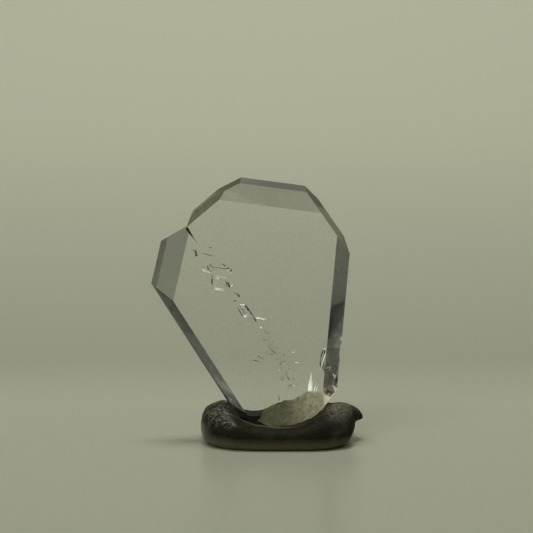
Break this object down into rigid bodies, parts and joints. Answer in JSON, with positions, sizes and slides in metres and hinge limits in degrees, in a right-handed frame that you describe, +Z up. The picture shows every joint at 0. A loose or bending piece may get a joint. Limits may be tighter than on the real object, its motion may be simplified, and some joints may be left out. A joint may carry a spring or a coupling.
{
  "type": "japan law twin quartz crystal",
  "caption": "Clear flat quartz twin, a wide V of joined plate crystals with bevelled rims and a broken foot, standing in a pressed lump of dark putty.",
  "frame": {"origin": "on the putty's flat underside, below the middle of the lump, on the ground the specimen stands on", "axes": "+Z up, -Y towards the viewer of the twin's broad front face, +X to the viewer's right"},
  "size_m": [0.0213, 0.0124, 0.0264],
  "materials": {
    "quartz": "clear, glossy growth faces",
    "putty": "dull, kneaded, olive black"
  },
  "bodies": {
    "root": {"quartz_twin": "quartz", "putty_base": "putty"}
  },
  "joints": []
}
